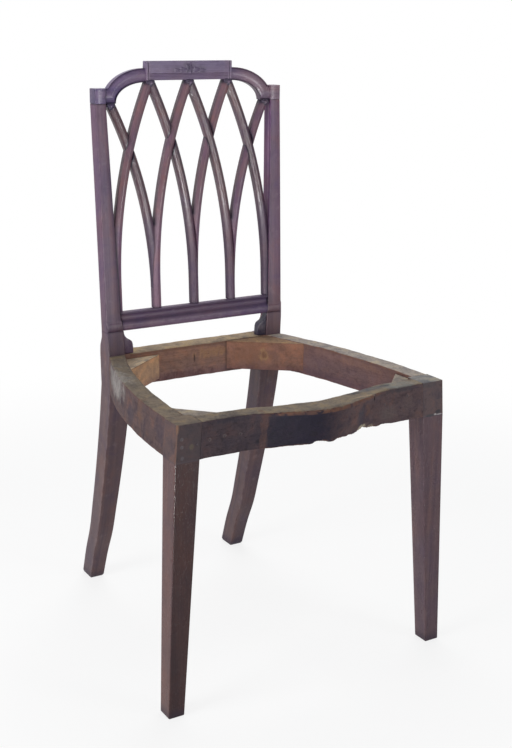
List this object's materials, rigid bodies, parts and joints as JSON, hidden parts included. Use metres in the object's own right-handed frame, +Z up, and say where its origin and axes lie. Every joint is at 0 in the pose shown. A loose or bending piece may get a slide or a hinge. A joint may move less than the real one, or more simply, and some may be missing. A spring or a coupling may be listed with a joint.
{
  "type": "dining chair frame",
  "caption": "Square-back wooden side chair frame without its seat: interlaced lancet lattice, stepped crest, serpentine front rail, tapered front legs and swept rear legs.",
  "frame": {"origin": "on the floor under the middle of the box round the chair", "axes": "+Z up, the front of the chair faces -Y, +X to the right of a viewer in front"},
  "size_m": [0.495, 0.5634, 0.914],
  "materials": {
    "polished_mahogany": "worn polish over dark red-brown mahogany",
    "shaded_mahogany": "worn polish, darker in the carved back",
    "bare_side_rail": "scraped, dusty on top, dull",
    "stained_front_rail": "dark stain, chipped along its lower edge",
    "rear_rail_wood": "bare sawn wood",
    "block_wood": "bare sawn softwood"
  },
  "bodies": {
    "root": {"rear_post_left": "polished_mahogany", "side_seat_rail_left": "bare_side_rail", "front_leg_left": "polished_mahogany", "corner_block_front_left": "block_wood", "corner_block_rear_left": "block_wood", "seat_bracket_left": "shaded_mahogany", "rear_post_right": "polished_mahogany", "side_seat_rail_right": "bare_side_rail", "front_leg_right": "polished_mahogany", "corner_block_front_right": "block_wood", "corner_block_rear_right": "block_wood", "seat_bracket_right": "shaded_mahogany", "crest_rail": "polished_mahogany", "stay_rail": "polished_mahogany", "lattice_bar_1": "shaded_mahogany", "lattice_bar_2": "shaded_mahogany", "lattice_bar_3": "shaded_mahogany", "lattice_bar_4": "shaded_mahogany", "lattice_bar_5": "shaded_mahogany", "lattice_bar_6": "shaded_mahogany", "lattice_bar_7": "shaded_mahogany", "lattice_bar_8": "shaded_mahogany", "rear_seat_rail": "rear_rail_wood", "front_seat_rail": "stained_front_rail"}
  },
  "joints": []
}
